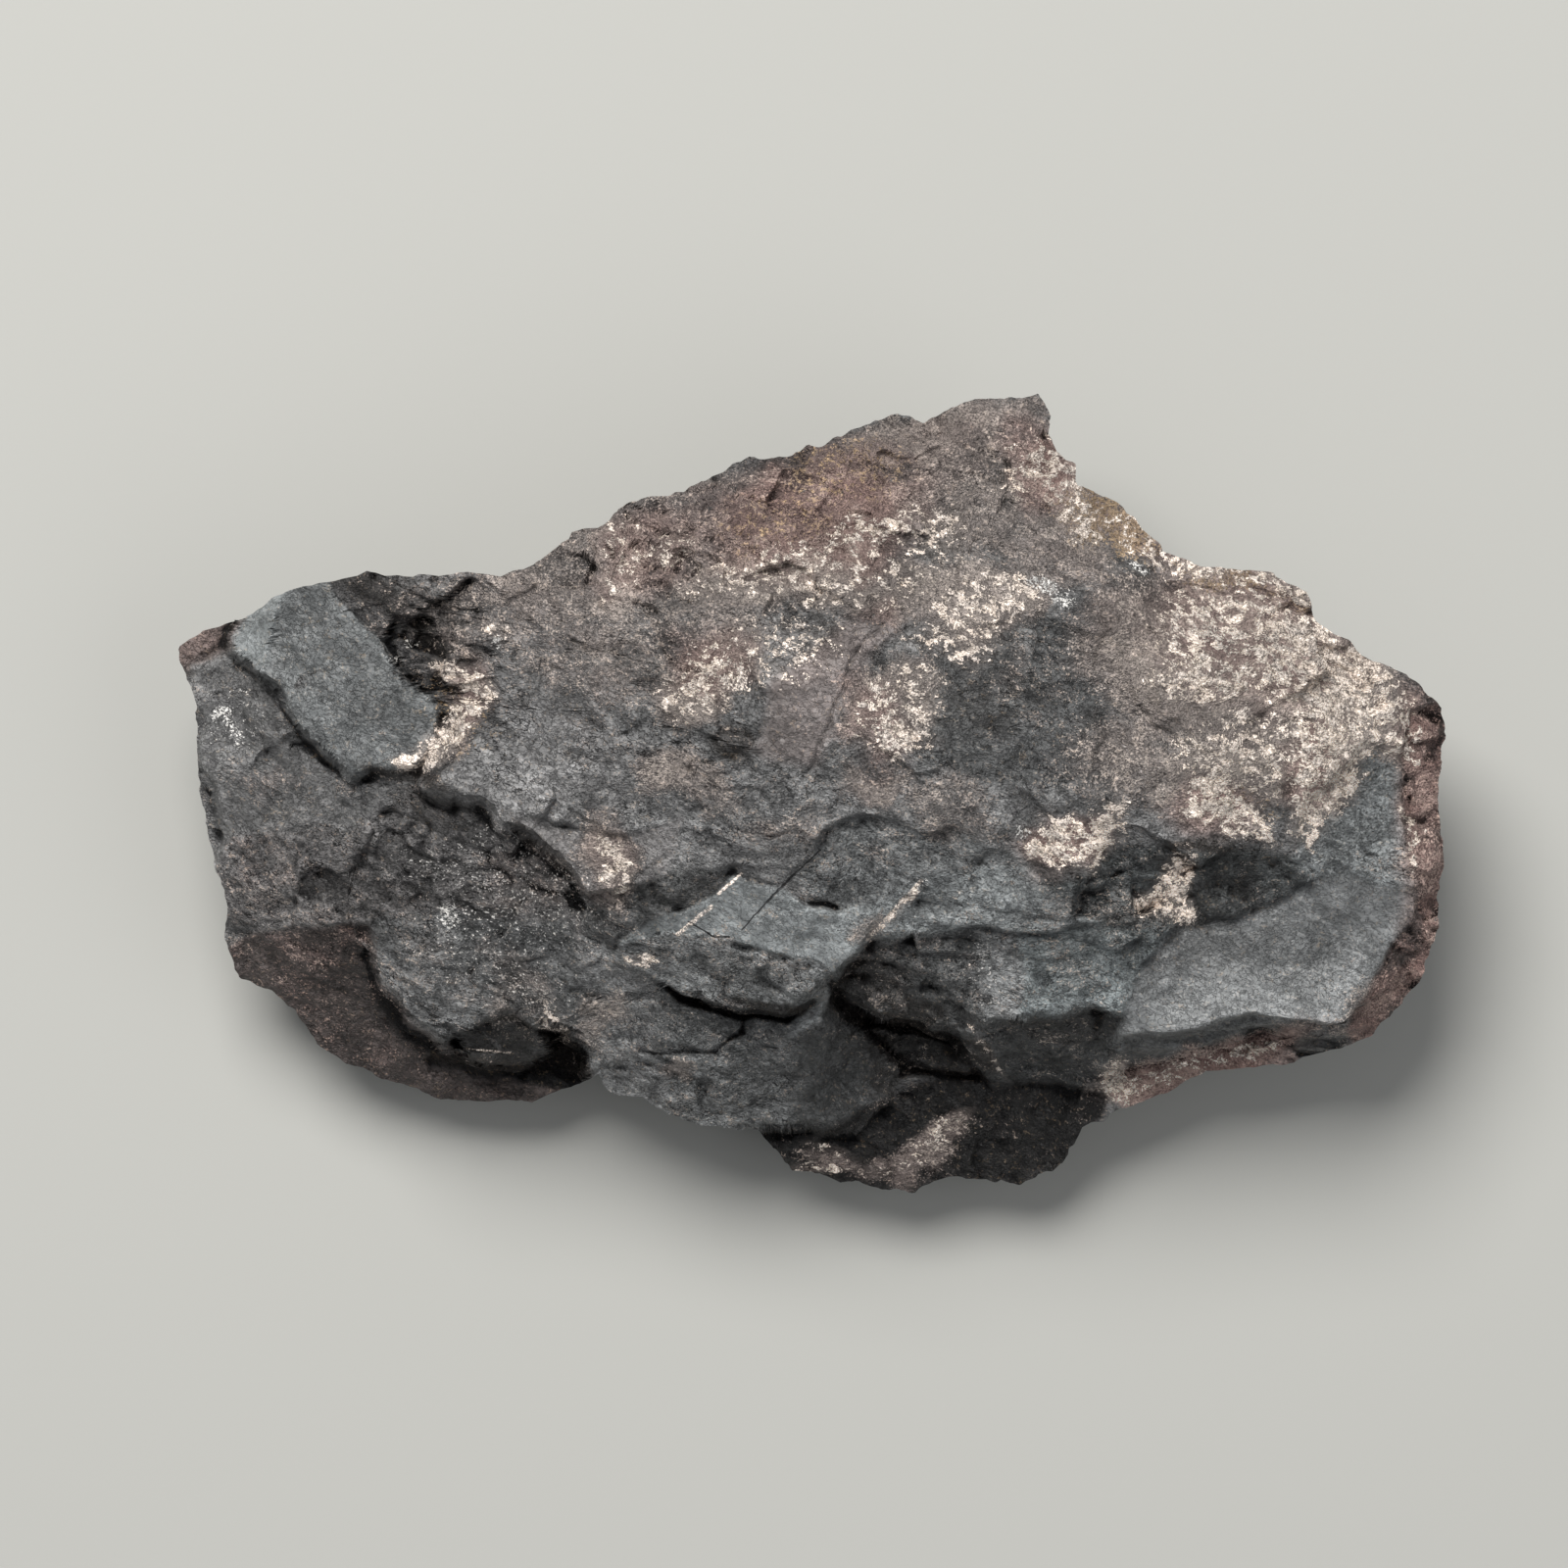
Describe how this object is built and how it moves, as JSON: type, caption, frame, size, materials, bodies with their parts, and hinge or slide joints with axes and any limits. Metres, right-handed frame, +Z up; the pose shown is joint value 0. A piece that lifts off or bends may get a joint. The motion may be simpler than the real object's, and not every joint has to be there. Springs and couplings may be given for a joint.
{
  "type": "hematite specimen",
  "caption": "Broken, platy piece of hematite ore: a wide low stone with stepped ledges, cleaved faces and ragged edges, lying on a level break.",
  "frame": {"origin": "middle of the bounding box, on the level face the stone rests on", "axes": "+X along the stone's length, +Y across it towards its blunt peak, +Z up through its thickness, towards the broad stepped face"},
  "size_m": [0.05, 0.0316, 0.0148],
  "materials": {
    "hematite": "dull, rough, slightly metallic slate grey"
  },
  "bodies": {
    "root": {"hematite_stone": "hematite"}
  },
  "joints": []
}
